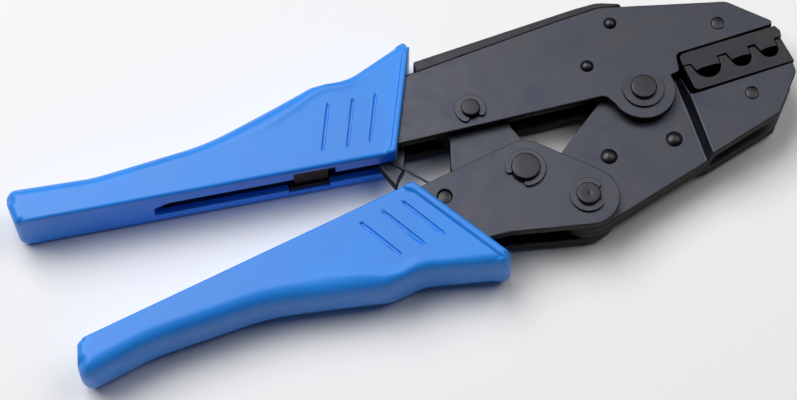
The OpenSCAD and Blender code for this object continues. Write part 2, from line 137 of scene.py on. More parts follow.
# A flat part cut from sheet, its edges rounded; bend(x, y) may shift the lower and upper faces.
# At angle a round the edge, the outline is edge (1 - sin a) in, and edge (1 - cos a) from the face.
# The wall value is 0 on the flat faces and rises over the rounded edge to 1 on the cut sides.
def plateShell(loops, low, high, edge, steps=3, bend=None, parts=None):
    angles = np.linspace(0, math.pi / 2, steps + 1)
    insets = np.concatenate([edge * (1 - np.sin(angles)), edge * (1 - np.sin(angles[::-1]))])
    heights = np.concatenate([high - edge * (1 - np.cos(angles)), low + edge * (1 - np.cos(angles[::-1]))])
    upper = np.arange(len(insets)) < steps + 1
    rings, wall = [], []
    for inset, height, isUpper in zip(insets, heights, upper):
        flat = np.concatenate([insetLoop(loop, inset) for loop in loops])
        z = np.full(len(flat), height)
        if bend is not None:
            z = z + bend(flat, isUpper)
        rings.append(np.column_stack([flat, z]))
        wall.append(np.full(len(flat), 1 - inset / edge))
    count, size = len(rings), len(rings[0])
    quads, start = [], 0
    for loop in loops:
        i = start + np.arange(len(loop))
        j = start + (np.arange(len(loop)) + 1) % len(loop)
        for k in range(count - 1):
            here, following = k * size, (k + 1) * size
            quads.append(np.column_stack([i + here, i + following, j + following, j + here]))
        start += len(loop)
    top = [insetLoop(loop, edge) for loop in loops]
    if parts is None:
        tris = fillLoops(top)
    else:
        flat = np.concatenate(top)
        tris = np.concatenate([
            np.concatenate(rows)[fillLoops([flat[row] for row in rows])] for rows in parts
        ])
    caps = np.concatenate([tris, tris[:, ::-1] + (count - 1) * size])
    return shell(np.concatenate(rings), np.concatenate(quads), caps=caps, wall=np.concatenate(wall))


# A turned part: profile [r, z] from its lower pole to its upper one, each point carried round as
# r (cos a, sin a) at its height
def turnedShell(at, profile, sides=56):
    p = np.array(profile, float)
    angles = np.linspace(0, 2 * math.pi, sides, endpoint=False)
    rings = [np.column_stack([at[0] + r * np.cos(angles), at[1] + r * np.sin(angles), np.full(sides, z)])
             for r, z in p[1:-1]]
    points = np.concatenate(rings + [[[at[0], at[1], p[0, 1]], [at[0], at[1], p[-1, 1]]]])
    i, j = np.arange(sides), (np.arange(sides) + 1) % sides
    count = len(rings)
    quads = np.concatenate([
        np.column_stack([i + k * sides, j + k * sides, j + (k + 1) * sides, i + (k + 1) * sides])
        for k in range(count - 1)
    ])
    lowPole, highPole, last = count * sides, count * sides + 1, (count - 1) * sides
    tris = np.concatenate([
        np.column_stack([j, i, np.full(sides, lowPole)]),
        np.column_stack([i + last, j + last, np.full(sides, highPole)]),
    ])
    return shell(points, quads, tris)


# Round wire swept along a path that is never upright: path + r (cos a across + sin a upward), with domed ends
def wireShell(path, diameter, sides=14):
    path = np.asarray(path, float)
    along = np.gradient(path, axis=0)
    along /= np.linalg.norm(along, axis=1)[:, None]
    across = np.cross(along, [0.0, 0.0, 1.0])
    across /= np.linalg.norm(across, axis=1)[:, None]
    upward = np.cross(across, along)
    r = diameter / 2
    dome = np.array([0.0, 0.35, 0.65, 0.88])
    rows = [(0, -r * math.sqrt(1 - d * d), d) for d in dome[1:]] + [(i, 0, 1) for i in range(len(path))]
    rows += [(len(path) - 1, r * math.sqrt(1 - d * d), d) for d in dome[:0:-1]]
    angles = np.linspace(0, 2 * math.pi, sides, endpoint=False)
    rings = [
        path[i] + along[i] * slide
        + r * size * (np.cos(angles)[:, None] * across[i] + np.sin(angles)[:, None] * upward[i])
        for i, slide, size in rows
    ]
    points = np.concatenate(rings + [[path[0] - along[0] * r], [path[-1] + along[-1] * r]])
    i, j = np.arange(sides), (np.arange(sides) + 1) % sides
    count = len(rings)
    quads = np.concatenate([
        np.column_stack([i + k * sides, i + (k + 1) * sides, j + (k + 1) * sides, j + k * sides])
        for k in range(count - 1)
    ])
    first, final, last = count * sides, count * sides + 1, (count - 1) * sides
    tris = np.concatenate([
        np.column_stack([i, j, np.full(sides, first)]),
        np.column_stack([j + last, i + last, np.full(sides, final)]),
    ])
    if isInsideOut(points, quads):
        quads, tris = quads[:, ::-1], tris[:, ::-1]
    return shell(points, quads, tris)


# The faces' signed volume about the middle is negative when they point inwards
def isInsideOut(points, quads):
    a, b, c = points[quads[:, 0]], points[quads[:, 1]], points[quads[:, 2]]
    d = points[quads[:, 3]]
    centre = points.mean(0)
    volume = np.sum(np.cross(b - a, c - a) * (a - centre)) + np.sum(np.cross(c - a, d - a) * (a - centre))
    return volume < 0


def mirroredShell(s, height):
    flipped = dict(s)
    flipped["points"] = s["points"] * [1, 1, -1] + [0, 0, height]
    for kind in ("quads", "tris", "caps"):
        flipped[kind] = s[kind][:, ::-1]
    return flipped


# x x (3 - 2 x), from 0 at 0 to 1 at 1
def smoothRise(x):
    x = np.clip(x, 0, 1)
    return x * x * (3 - 2 * x)


# Pieces

def buildMesh(name, shells, sharpAngle):
    points, faces, smooth, wall, base = [], [], [], [], 0
    for s in shells:
        points.append(s["points"])
        wall.append(s["wall"])
        for kind in ("quads", "tris", "caps"):
            faces += (s[kind] + base).tolist()
            smooth += [kind != "caps"] * len(s[kind])
        base += len(s["points"])
    mesh = bpy.data.meshes.new(name)
    mesh.from_pydata(((np.concatenate(points) + pivotShift) * 0.001).tolist(), [], faces)
    wallValues = np.concatenate(wall).astype(np.float32)
    mesh.attributes.new("wall", "FLOAT", "POINT").data.foreach_set("value", wallValues)
    mesh.set_sharp_from_angle(angle=math.radians(sharpAngle))
    mesh.polygons.foreach_set("use_smooth", smooth)
    mesh.update()
    return mesh


def addPiece(name, body, shells, material, replaced, sharpAngle=40):
    piece = bpy.data.objects.new(name, buildMesh(name, shells, sharpAngle))
    bpy.context.scene.collection.objects.link(piece)
    piece.data.materials.append(material)
    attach(piece, body)
    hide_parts(*replaced)
    return piece


# Finishes

def linearColour(code):
    values = [int(code[i:i + 2], 16) / 255 for i in (1, 3, 5)]
    return [v / 12.92 if v <= 0.04045 else ((v + 0.055) / 1.055) ** 2.4 for v in values] + [1.0]


def addNode(material, kind, settings=None, links=None):
    tree = material.node_tree
    node = tree.nodes.new(kind)
    for key, value in (settings or {}).items():
        if isinstance(key, int) or key in node.inputs:
            node.inputs[key].default_value = value
        else:
            setattr(node, key, value)
    for key, socket in (links or {}).items():
        tree.links.new(socket, node.inputs[key])
    return node


def newMaterial(name):
    material = bpy.data.materials.new(name)
    material.use_nodes = True
    return material, material.node_tree.nodes["Principled BSDF"]


# Blackened steel: cloudy blue and brown oxide tints and a fine matt grain. The cut sides are rougher and
# painted darker, painted shade for the dark surroundings they reflect, and the rounded edges between are
# painted a little lighter in places, partly rubbed wear and partly a painted highlight. The sizes of the
# clouds, patches and grain are in millimetres; real grain is finer, and is drawn this coarse to show.
oxideSettings = {
    "tints": [(0.30, "#41444f"), (0.50, "#484a52"), (0.70, "#4c4a4e")],
    # The side colour is painted shade: the cut sides are darker for the dark surroundings they reflect.
    "side": "#332d2b", "edgeWearAndHighlight": "#6c6e76", "edgeWearAndHighlightStrength": 0.42,
    "cloud": 9.0, "patch": 2.2, "grain": 0.16,
    "roughLow": 0.36, "roughHigh": 0.50, "roughSide": 0.62,
}


def oxideSteel(name, settings):
    material, shader = newMaterial(name)
    place = addNode(material, "ShaderNodeTexCoord").outputs["Object"]
    cloud, patch, grain = [
        addNode(material, "ShaderNodeTexNoise",
                {"Scale": 1000.0 / settings[size], "Detail": detail, "Distortion": distortion},
                {"Vector": place}).outputs["Fac"]
        for size, detail, distortion in (("cloud", 4.0, 0.6), ("patch", 5.0, 0.0), ("grain", 2.0, 0.0))
    ]
    tint = addNode(material, "ShaderNodeMix", {"data_type": "FLOAT", 0: 0.35},
                   {2: cloud, 3: patch}).outputs[0]
    ramp = addNode(material, "ShaderNodeValToRGB", links={"Fac": tint})
    elements = ramp.color_ramp.elements
    while len(elements) < len(settings["tints"]):
        elements.new(0.5)
    for element, (position, code) in zip(elements, settings["tints"]):
        element.position = position
        element.color = linearColour(code)
    wall = addNode(material, "ShaderNodeAttribute", {"attribute_name": "wall"}).outputs["Fac"]
    # The cut sides take the side colour, painted shade.
    base = addNode(material, "ShaderNodeMix", {"data_type": "RGBA", 7: linearColour(settings["side"])},
                   {0: wall, 6: ramp.outputs["Color"]}).outputs[2]

    # The lighter edge, partly rubbed wear and partly a painted highlight, is 4 w (1 - w) of the wall value,
    # strongest half way round the edge, broken up by the patches
    rest = addNode(material, "ShaderNodeMath", {"operation": "SUBTRACT", 0: 1.0}, {1: wall}).outputs["Value"]
    onEdge = addNode(material, "ShaderNodeMath", {"operation": "MULTIPLY"},
                     {0: wall, 1: rest}).outputs["Value"]
    broken = addNode(material, "ShaderNodeMapRange", {
        "From Min": 0.42, "From Max": 0.62, "To Min": settings["edgeWearAndHighlightStrength"], "To Max": 4 * settings["edgeWearAndHighlightStrength"],
    }, {"Value": patch}).outputs["Result"]
    edgeWearAndHighlight = addNode(material, "ShaderNodeMath", {"operation": "MULTIPLY"},
                     {0: onEdge, 1: broken}).outputs["Value"]
    # Lighter edge colour: partly rubbed wear, partly a painted highlight.
    colour = addNode(material, "ShaderNodeMix", {"data_type": "RGBA", 7: linearColour(settings["edgeWearAndHighlight"])},
                     {0: edgeWearAndHighlight, 6: base}).outputs[2]

    flatRough = addNode(material, "ShaderNodeMapRange", {
        "From Min": 0.3, "From Max": 0.7, "To Min": settings["roughLow"], "To Max": settings["roughHigh"],
    }, {"Value": patch}).outputs["Result"]
    rough = addNode(material, "ShaderNodeMix", {"data_type": "FLOAT", 3: settings["roughSide"]},
                    {0: wall, 2: flatRough}).outputs[0]
    bump = addNode(material, "ShaderNodeBump", {"Strength": 0.35, "Distance": 0.02 * 0.001},
                   {"Height": grain})
    tree = material.node_tree
    tree.links.new(colour, shader.inputs["Base Color"])
    tree.links.new(rough, shader.inputs["Roughness"])
    tree.links.new(bump.outputs["Normal"], shader.inputs["Normal"])
    shader.inputs["Metallic"].default_value = 1.0
    return material


plateSteel = oxideSteel("blackenedSteelPlate", oxideSettings)
# The die, pin and clip finishes keep a darker side colour, painted shade, and a lighter edge colour, partly
# wear and partly a painted highlight.
dieSteel = oxideSteel("hardenedDieSteel", {
    **oxideSettings, "tints": [(0.3, "#38373b"), (0.5, "#3d3b3f"), (0.7, "#433f41")], "cloud": 5.0,
    "edgeWearAndHighlight": "#6f6c6d", "side": "#262425",
})
pinSteel = oxideSteel("blackenedTurnedSteel", {
    **oxideSettings, "tints": [(0.3, "#39383d"), (0.5, "#3e3d41"), (0.7, "#424041")], "cloud": 4.0,
    "roughLow": 0.34, "roughHigh": 0.46,
})
clipSteel = oxideSteel("blackenedSpringSteel", {
    **oxideSettings, "tints": [(0.3, "#41424a"), (0.5, "#48494f"), (0.7, "#4c4a4d")], "cloud": 4.0,
    "roughLow": 0.32, "roughHigh": 0.44,
})
brownSteel = oxideSteel("brownTintedSteel", {
    **oxideSettings, "tints": [(0.3, "#33241f"), (0.5, "#3f2d25"), (0.7, "#49372e")], "cloud": 3.0,
    "edgeWearAndHighlight": "#5d4a3d", "side": "#4b382e", "roughLow": 0.45, "roughHigh": 0.6,
})


# Moulded plastic: one clear blue, a fine matt moulding texture, a little unevenness in its gloss.
# Cloud and grain sizes are in millimetres; the real texture is finer and is drawn coarse enough to show.
gripSettings = {"colour": "#2489ec", "deep": "#2181e2", "cloud": 22.0, "grain": 0.35, "rough": (0.36, 0.44)}


def mouldedPlastic(name, settings):
    material, shader = newMaterial(name)
    place = addNode(material, "ShaderNodeTexCoord").outputs["Object"]
    cloud, grain = [
        addNode(material, "ShaderNodeTexNoise", {"Scale": 1000.0 / settings[size], "Detail": 2.0},
                {"Vector": place}).outputs["Fac"]
        for size in ("cloud", "grain")
    ]
    share = addNode(material, "ShaderNodeMapRange", {"From Min": 0.35, "From Max": 0.65}, {"Value": cloud})
    colour = addNode(material, "ShaderNodeMix", {
        "data_type": "RGBA", 6: linearColour(settings["deep"]), 7: linearColour(settings["colour"]),
    }, {0: share.outputs["Result"]}).outputs[2]
    low, high = settings["rough"]
    rough = addNode(material, "ShaderNodeMapRange", {
        "From Min": 0.3, "From Max": 0.7, "To Min": low, "To Max": high,
    }, {"Value": cloud}).outputs["Result"]
    bump = addNode(material, "ShaderNodeBump", {"Strength": 0.25, "Distance": 0.012 * 0.001},
                   {"Height": grain})
    tree = material.node_tree
    tree.links.new(colour, shader.inputs["Base Color"])
    tree.links.new(rough, shader.inputs["Roughness"])
    tree.links.new(bump.outputs["Normal"], shader.inputs["Normal"])
    shader.inputs["IOR"].default_value = 1.49
    return material


gripPlastic = mouldedPlastic("mouldedBluePlastic", gripSettings)
print("finishes made")


# Frame plates, spine and core

rivetAt = [np.array([-4.4, 22.7]), np.array([-14.2, 10.4])]
framePlate = {
    "corners": [
        [-142, -4.2, 0.5], [-142, 3, 2], [-108, 5.5, 6], [-74, 16.5, 3], [-18.4, 26.6, 30], [-6.3, 28.4, 8],
        [30.6, 23, 4], [42, 14.2, 1], [41.8, 12.9, 0.3], [12, 9.1, 1.4], [11.8, 3.4, 1.6], [8.9, 2.9, 0.4],
    ],
    "hub": 9.4, "hubTo": -161,
    "lower": [[-11.2, 0.1, 2.4], [-74, -3, 2], [-77.5, -3, 0.8], [-78.6, -4.2, 0.4]],
    "tab": [[-91.7, -4.25, 0], [-91.7, -5.6, 0.3], [-103.4, -5.6, 0.3], [-103.4, -4.25, 0]],
    "backTabShift": -1.8,
    "bores": [([0, 0], 7.5), (linkAt, 5.4), (pawlAt, 3.6), (upperPinAt, 3.8)] + [(at, 3) for at in rivetAt],
    "thickness": 3.0, "edge": 0.3,
}
frameStack = 14.0
frameLow, frameHigh = middle - frameStack / 2, middle + frameStack / 2


def frameLoops(tabShift):
    hub = circlePoints([0, 0], framePlate["hub"], 0, framePlate["hubTo"], 40)
    tab = [[x + tabShift, y, r] for x, y, r in framePlate["tab"]]
    corners = framePlate["corners"] + [[x, y, 0] for x, y in hub] + framePlate["lower"] + tab
    return [anticlockwise(roundedLoop(corners))] + [hole(at, d) for at, d in framePlate["bores"]]


t = framePlate["thickness"]
for name, node, low, tabShift in (
    ("frontFramePlate", "frame_plate_front", frameHigh - t, 0),
    ("backFramePlate", "frame_plate_back", frameLow, framePlate["backTabShift"]),
):
    addPiece(name, "frame", [plateShell(frameLoops(tabShift), low, low + t, framePlate["edge"])],
             plateSteel, [node])

spine = {
    "bar": [
        [-63.1, 18.55, 0.3], [-18.8, 26.66, 4], [-7.5, 28.38, 4], [-2.5, 28.1, 0], [0.4, 27.8, 0.2],
        [-0.3, 28.9, 0.4], [-6.5, 30.4, 10], [-13, 29.8, 12], [-63.1, 22.1, 0.5],
    ],
    "web": [
        [-71, 15.6, 0], [0, 25.9, 0], [-0.6, 28.2, 0.5], [-7.2, 29, 3], [-18.6, 27.6, 3], [-62, 20.2, 2],
        [-70.6, 19, 0.6],
    ],
    "barThickness": 13.0, "webThickness": 8.0, "edge": 0.45,
}
half = spine["barThickness"] / 2
web = spine["webThickness"] / 2
addPiece("spineBar", "frame", [
    plateShell([anticlockwise(roundedLoop(spine["bar"]))], middle - half, middle + half, spine["edge"]),
    plateShell([anticlockwise(roundedLoop(spine["web"]))], middle - web, middle + web, 0.2),
], dieSteel, ["frame_spine"])

# Headed pins with grooves, their clips, and rivets

pinSpecs = {
    "mainPivotPin": {
        "at": [0, 0], "d": 7.5, "head": 11, "stack": frameStack, "body": "frame", "node": "main_pivot_pin",
    },
    "linkPin": {
        "at": linkAt, "d": 5.4, "head": 8.6, "stack": frameStack, "body": "frame", "node": "link_pin",
    },
    "togglePin": {
        "at": toggleAt, "d": 8.3, "head": 11.5, "stack": 13.6, "body": "handle", "node": "toggle_pin",
    },
    "kneePin": {
        "at": kneeAt, "d": 6.8, "head": 10, "stack": 13.6, "body": "handle", "node": "knee_pin",
        "dimple": 0.35,
    },
}
pinStand, pinHead, clipThickness, grooveDepth = 2.0, 2.0, 0.8, 0.5
for name, pin in pinSpecs.items():
    r, head, half = pin["d"] / 2, pin["head"] / 2, pin["stack"] / 2
    low, top = middle - half, middle + half
    end = top + pinStand
    dimple = pin.get("dimple", 0)
    tip = [[dimple + 0.1, end], [dimple, end - 0.03], [dimple * 0.5, end - 0.22], [0, end - 0.28]]
    tip = tip if dimple else [[r * 0.4, end], [0, end]]
    profile = [
        [0, low - pinHead], [head - 0.5, low - pinHead], [head - 0.15, low - pinHead + 0.12],
        [head, low - pinHead + 0.45], [head, low - 0.15], [head - 0.12, low], [r, low],
        [r, top - 0.01], [r - grooveDepth, top], [r - grooveDepth, top + clipThickness],
        [r, top + clipThickness + 0.01], [r, end - 0.42], [r - 0.06, end - 0.26], [r - 0.18, end - 0.1],
        [r - 0.36, end - 0.02], [r - 0.5, end],
    ] + tip
    addPiece(name, pin["body"], [turnedShell(pin["at"], profile, 72)], pinSteel, [pin["node"]])

clipSpecs = {
    "mainPivotClip": {
        "pin": "mainPivotPin", "outer": 12, "openAt": 77, "openHalf": 66, "node": "main_pivot_clip",
    },
    "linkPinClip": {"pin": "linkPin", "outer": 9, "openAt": -78, "openHalf": 48, "node": "link_pin_clip"},
    "togglePinClip": {
        "pin": "togglePin", "outer": 11.6, "openAt": 222, "openHalf": 44, "node": "toggle_pin_clip",
    },
    "kneePinClip": {"pin": "kneePin", "outer": 10.4, "openAt": -8, "openHalf": 47, "node": "knee_pin_clip"},
}
# An open ring: two arcs joined by round tips, open about one direction
for name, clip in clipSpecs.items():
    pin = pinSpecs[clip["pin"]]
    inner, outer = pin["d"] / 2 - grooveDepth + 0.04, clip["outer"] / 2
    mid, tip = (inner + outer) / 2, (outer - inner) / 2
    start, end = clip["openAt"] + clip["openHalf"], clip["openAt"] - clip["openHalf"] + 360
    at = np.asarray(pin["at"], float)
    loop = np.concatenate([
        circlePoints(at, outer, start, end, 60),
        circlePoints(circlePoints(at, mid, end, end, 0)[0], tip, end + 12, end + 168, 13),
        circlePoints(at, inner, end, start, 60),
        circlePoints(circlePoints(at, mid, start, start, 0)[0], tip, start + 192, start + 348, 13),
    ])
    z = middle + pin["stack"] / 2
    addPiece(name, pin["body"], [plateShell([anticlockwise(loop)], z, z + clipThickness, 0.18)],
             clipSteel, [clip["node"]])

rivet = {"d": 3.0, "dome": 1.1, "frameHead": 3.9, "jawHead": 4.9}


# Each head is a cap of a ball whose radius is (head head / 4 + dome dome) / (2 dome)
def rivetShell(at, low, high, head):
    cap = (head ** 2 / 4 + rivet["dome"] ** 2) / (2 * rivet["dome"])
    widest = math.asin(head / 2 / cap)
    bow = [[cap * math.sin(a), cap * math.cos(a) - cap + rivet["dome"]] for a in np.linspace(widest, 0, 9)]
    upper = [[r, high + z] for r, z in bow]
    lower = [[r, low - z] for r, z in bow[::-1]]
    return turnedShell(at, lower + [[rivet["d"] / 2, low], [rivet["d"] / 2, high]] + upper, 40)


# A pin ground off level with the plates, its end edges broken
def flushPinShell(at, diameter, low, high):
    r = diameter / 2
    return turnedShell(at, [
        [0, low], [r - 0.35, low], [r - 0.1, low + 0.1], [r, low + 0.35],
        [r, high - 0.35], [r - 0.1, high - 0.1], [r - 0.35, high], [0, high],
    ], 40)


addPiece("frameRivets", "frame", [rivetShell(at, frameLow, frameHigh, rivet["frameHead"]) for at in rivetAt]
         + [flushPinShell([-98.2, -0.6], 3, frameLow, frameHigh)], pinSteel, ["frame_rivets"])
addPiece("upperDiePin", "frame", [flushPinShell(upperPinAt, 3.8, frameLow, frameHigh)],
         pinSteel, ["upper_die_pin"])
addPiece("pawlPin", "frame", [flushPinShell(pawlAt, 3.6, frameLow, frameHigh)],
         pinSteel, ["pawl_pin"])
addPiece("lowerDiePin", "jaw", [flushPinShell(lowerPinAt, 3.8, frameLow, frameHigh)],
         pinSteel, ["lower_die_pin"])
addPiece("springPin", "handle", [flushPinShell(springAt, 4, middle - 6.8, middle + 6.2)],
         pinSteel, ["spring_pin"])
jawRivetAt = [np.array([-14.1, -17.4]), np.array([5.5, -15.8])]
jawRivets = [rivetShell(at, middle - 3.5, middle + 3.5, rivet["jawHead"]) for at in jawRivetAt]
addPiece("jawRivets", "jaw", jawRivets, pinSteel, ["jaw_rivets"])
print("frame, pins and rivets made")

# Dies, in a frame turned about the main pivot

die = {
    "angle": 7.0, "start": 13.6, "end": 44.2, "top": 7.1, "bottom": -5.35, "slotTop": 3.3, "foot": 0.6,
    "nestStart": [16.7, 27.7, 36.7], "nestWidth": [7.3, 5.7, 5.1], "nestDepth": [2.9, 2.6, 2.4],
    "gap": 0.25, "slant": 0.9, "spare": 0.15, "close": 0.84,
}


# An arc from p to q that sags by depth; its radius is (width width / 4 + depth depth) / (2 depth)
def sagPoints(p, q, depth, steps=18):
    p, q = np.array(p, float), np.array(q, float)
    width = np.linalg.norm(q - p)
    r = (width ** 2 / 4 + depth ** 2) / (2 * depth)
    along = (q - p) / width
    down = np.array([along[1], -along[0]])
    centre = (p + q) / 2 - down * (r - depth)
    half = math.asin(min(1.0, width / 2 / r))
    half = math.pi - half if depth > width / 2 else half
    a = np.linspace(-half, half, steps + 1)[:, None]
    return centre + r * (down * np.cos(a) + along * np.sin(a))


# Die points turned back by the die line's angle about the main pivot
def turnedLoop(points):
    a = math.radians(die["angle"])
    turn = np.array([[math.cos(a), math.sin(a)], [-math.sin(a), math.cos(a)]])
    return anticlockwise(np.asarray(points, float) @ turn)


start, end, top, bottom = die["start"], die["end"], die["top"], die["bottom"]
upperOutline = [
    [start, die["slotTop"]], [start, top - 1], [start + 1, top], [end - 0.6, top], [end + 0.4, top - 2],
    [end, die["slotTop"]],
]
for i in (2, 1, 0):
    left, right = die["nestStart"][i], die["nestStart"][i] + die["nestWidth"][i]
    upperOutline.append([right, die["slotTop"]])
    upperOutline += sagPoints([right, die["foot"]], [left, die["foot"]], 0.35).tolist()
    upperOutline.append([left - die["slant"], die["slotTop"]])
tang = [[16, 6.1], [38, 6.1], [38, 12.5], [33.5, 15.8], [16, 15.8]]
addPiece("upperDie", "frame", [
    plateShell([turnedLoop(upperOutline)], frameLow, frameHigh, 0.16),
    plateShell([turnedLoop(tang)], middle - 4, middle + 4, 0.15),
], dieSteel, ["upper_die"])


# Height of the lower die's upper edge, which falls away by the angle that the jaw still has to close
def wallTop(u):
    return die["slotTop"] - die["spare"] - u * math.tan(math.radians(die["close"]))


lowerOutline = [[start + 0.1, wallTop(start)]]
for i in range(3):
    right = die["nestStart"][i] - die["gap"]
    left = die["nestStart"][i] + die["nestWidth"][i] + die["gap"]
    lowerOutline.append([right - die["slant"], wallTop(right)])
    low = die["foot"] - 0.3
    lowerOutline += sagPoints([right, low], [left, low], die["nestDepth"][i]).tolist()
    lowerOutline.append([left, wallTop(left)])
lowerOutline += [[end - 0.4, wallTop(end)], [end + 0.5, bottom + 0.1]]
corner = np.array([start + 0.7, bottom])
lowerOutline += cornerPoints(np.array([end, bottom]), corner, np.array([start, 0.0]), 1.5, 8).tolist()
lowerTang = [[18, -14.85], [36.5, -14.85], [41, -6.95], [41, -4.35], [18, -4.35]]
addPiece("lowerDie", "jaw", [
    plateShell([turnedLoop(lowerOutline)], frameLow, frameHigh, 0.16),
    plateShell([turnedLoop(lowerTang)], middle - 3.5, middle + 3.5, 0.15),
], dieSteel, ["lower_die"])
print("dies made")

# Moving jaw plates, each stepped outwards across the joggle

jaw = {
    "hub": 8.7, "kneeHub": 8.9, "thickness": 3.5, "edge": 0.3,
    "corners": [
        [-27.3, -13.5, 3], "knee", [36.4, -15.2, 1], [44.6, -3.4, 2], [44.5, -0.2, 0.8], [15.9, -4.05, 0],
        [12.9, -4.3, 0.8], [11.7, 1.7, 0.6],
    ],
    "joggleAt": [10.7, 0], "lean": 5.5, "run": 1.6, "lap": 0.9, "ease": 0.35,
    "kneeSlot": {"out": 1.7, "in": 0.4, "gap": 0.15},
}
stepDirection = np.array([math.cos(math.radians(jaw["lean"])), math.sin(math.radians(jaw["lean"]))])


# Distance past the joggle's line, square to it
def acrossStep(points):
    return (np.asarray(points)[:, :2] - jaw["joggleAt"]) @ stepDirection


# The faces rise by one thickness, as half a cosine wave; the inner face starts a little later
def joggleBend(points, isUpper):
    s = acrossStep(points) - (0 if isUpper else jaw["lap"])
    share = np.clip((s + jaw["ease"]) / (jaw["run"] + 2 * jaw["ease"]), 0, 1)
    return jaw["thickness"] * (0.5 - 0.5 * np.cos(math.pi * share))


def jawLoop():
    corners = [[x, y, 0] for x, y in circlePoints([0, 0], jaw["hub"], 36, 133, 24)]
    for c in jaw["corners"]:
        if c == "knee":
            corners += [[x, y, 0] for x, y in circlePoints(kneeAt, jaw["kneeHub"], 170, 292, 30)]
        else:
            corners.append(c)
    return anticlockwise(roundedLoop(corners))


stripLines = np.linspace(-0.6, 3.6, 22)


# Points are added where the outline crosses each strip line
def splitAtStrips(loop):
    result = []
    s = acrossStep(loop)
    for i in range(len(loop)):
        j = (i + 1) % len(loop)
        result.append(loop[i])
        crossed = [c for c in stripLines if (s[i] - c) * (s[j] - c) < 0]
        for c in sorted(crossed, key=lambda c: (c - s[i]) / (s[j] - s[i])):
            share = (c - s[i]) / (s[j] - s[i])
            result.append(loop[i] + share * (loop[j] - loop[i]))
    return np.array(result)


# Rows of outline points for the flat face before the strips, each strip, and the face after them
def jawParts(loop, holes):
    s = acrossStep(loop)
    tolerance = 1e-7
    starts = np.cumsum([len(loop)] + [len(h) for h in holes])
    rows = [np.arange(starts[i], starts[i] + len(h)) for i, h in enumerate(holes)]
    side = [acrossStep(h).mean() < 0 for h in holes]
    parts = [[np.flatnonzero(s <= stripLines[0] + tolerance)] + [r for r, left in zip(rows, side) if left]]
    for a, b in zip(stripLines[:-1], stripLines[1:]):
        parts.append([np.flatnonzero((s >= a - tolerance) & (s <= b + tolerance))])
    beyond = np.flatnonzero(s >= stripLines[-1] - tolerance)
    parts.append([beyond] + [r for r, left in zip(rows, side) if not left])
    return parts


# The slot runs square to the line from the main pivot, so that the knee pin can slide in it
def kneeSlotLoop():
    slot = jaw["kneeSlot"]
    swing = unit(np.array([kneeAt[1], -kneeAt[0]]))
    r = pinSpecs["kneePin"]["d"] / 2 + slot["gap"]
    angle = math.degrees(bearing(swing))
    return np.concatenate([
        circlePoints(kneeAt + swing * slot["out"], r, angle - 90, angle + 90, 18),
        circlePoints(kneeAt - swing * slot["in"], r, angle + 90, angle + 270, 18),
    ])[::-1]


jawHoles = [hole([0, 0], 7.6), kneeSlotLoop()] + [hole(at, 3) for at in jawRivetAt] + [hole(lowerPinAt, 3.8)]
jawOuter = splitAtStrips(jawLoop())
frontJaw = plateShell([jawOuter] + jawHoles, middle, middle + jaw["thickness"], jaw["edge"],
                      bend=joggleBend, parts=jawParts(jawOuter, jawHoles))
addPiece("frontJawPlate", "jaw", [frontJaw], plateSteel, ["jaw_plate_front"])
addPiece("backJawPlate", "jaw", [mirroredShell(frontJaw, 2 * middle)],
         plateSteel, ["jaw_plate_back"])
print("jaw made")

# Toothed link

link = {
    "hub": 8.6, "thickness": 7.0, "root": 12.3, "tip": 13.2, "first": 138.0, "step": 4.6, "teeth": 8,
    "left": [[-57.5, -3, 2], [-59, -11, 1], [-59, -15, 1.5], [-43.9, -24.6, 0]],
    "right": [[-37.4, -6.8, 2], [-39.3, -3, 3]],
}


def linkLoop():
    corners = [[x, y, 0] for x, y in circlePoints(linkAt, link["hub"], 10, 128, 26)]
    corners += [[x, y, 0] for x, y in circlePoints(linkAt, link["root"], 134, link["first"], 2)]
    for i in range(link["teeth"]):
        a = link["first"] + i * link["step"]
        corners += [[x, y, 0] for x, y in np.concatenate([
            circlePoints(linkAt, link["tip"], a + 0.6, a + 0.9, 1),
            circlePoints(linkAt, link["root"], a + link["step"] - 0.4, a + link["step"] - 0.1, 1),
        ])]
    corners += [[x, y, 0] for x, y in circlePoints(linkAt, link["root"], 177, 184, 3)]
    corners += link["left"]
    corners += [[x, y, 0] for x, y in circlePoints(toggleAt, link["hub"], 238, 380, 34)]
    corners += link["right"]
    return anticlockwise(roundedLoop(corners))


half = link["thickness"] / 2
addPiece("toothedLink", "link", [plateShell([linkLoop(), hole(linkAt, 5.5), hole(toggleAt, 8.4)],
                                            middle - half, middle + half, 0.25)],
         plateSteel, ["ratchet_link"])

# Pawl with its finger fin

pawl = {
    "thickness": 4.0, "noseReach": 13.4, "noseAngle": math.radians(150),
    "fin": [[-78.2, 4, 0], [-78.9, -6.6, 2], [-75.3, -13.9, 0.35], [-74.2, -11.2, 6], [-72, -8.8, 3],
            [-70.9, -4, 4], [-70.8, 3, 0]],
}
nose = linkAt + pawl["noseReach"] * np.array([math.cos(pawl["noseAngle"]), math.sin(pawl["noseAngle"])])
outward = unit(nose - linkAt)
sideways = np.array([-outward[1], outward[0]])
arm = [pawlAt + [-1.5, 3.4], pawlAt + [2, -3.1], nose + outward * 1.6 - sideways * 1.2, nose - sideways * 0.2,
       nose + outward * 0.3 + sideways * 0.6, nose + outward * 3.6 + sideways]
half = pawl["thickness"] / 2
addPiece("releasePawl", "pawl", [
    plateShell([anticlockwise(roundedLoop(pawl["fin"]))], middle - half, middle + half, 0.45),
    plateShell([anticlockwise(np.array(arm))], middle - half + 0.02, middle + half - 0.02, 0.1),
    plateShell([circlePoints(pawlAt, 3.7, 0, 360, 40)[:-1], hole(pawlAt, 3.7)],
               middle - half - 0.02, middle + half + 0.02, 0.2),
], plateSteel, ["release_pawl"])

# Moving handle plates

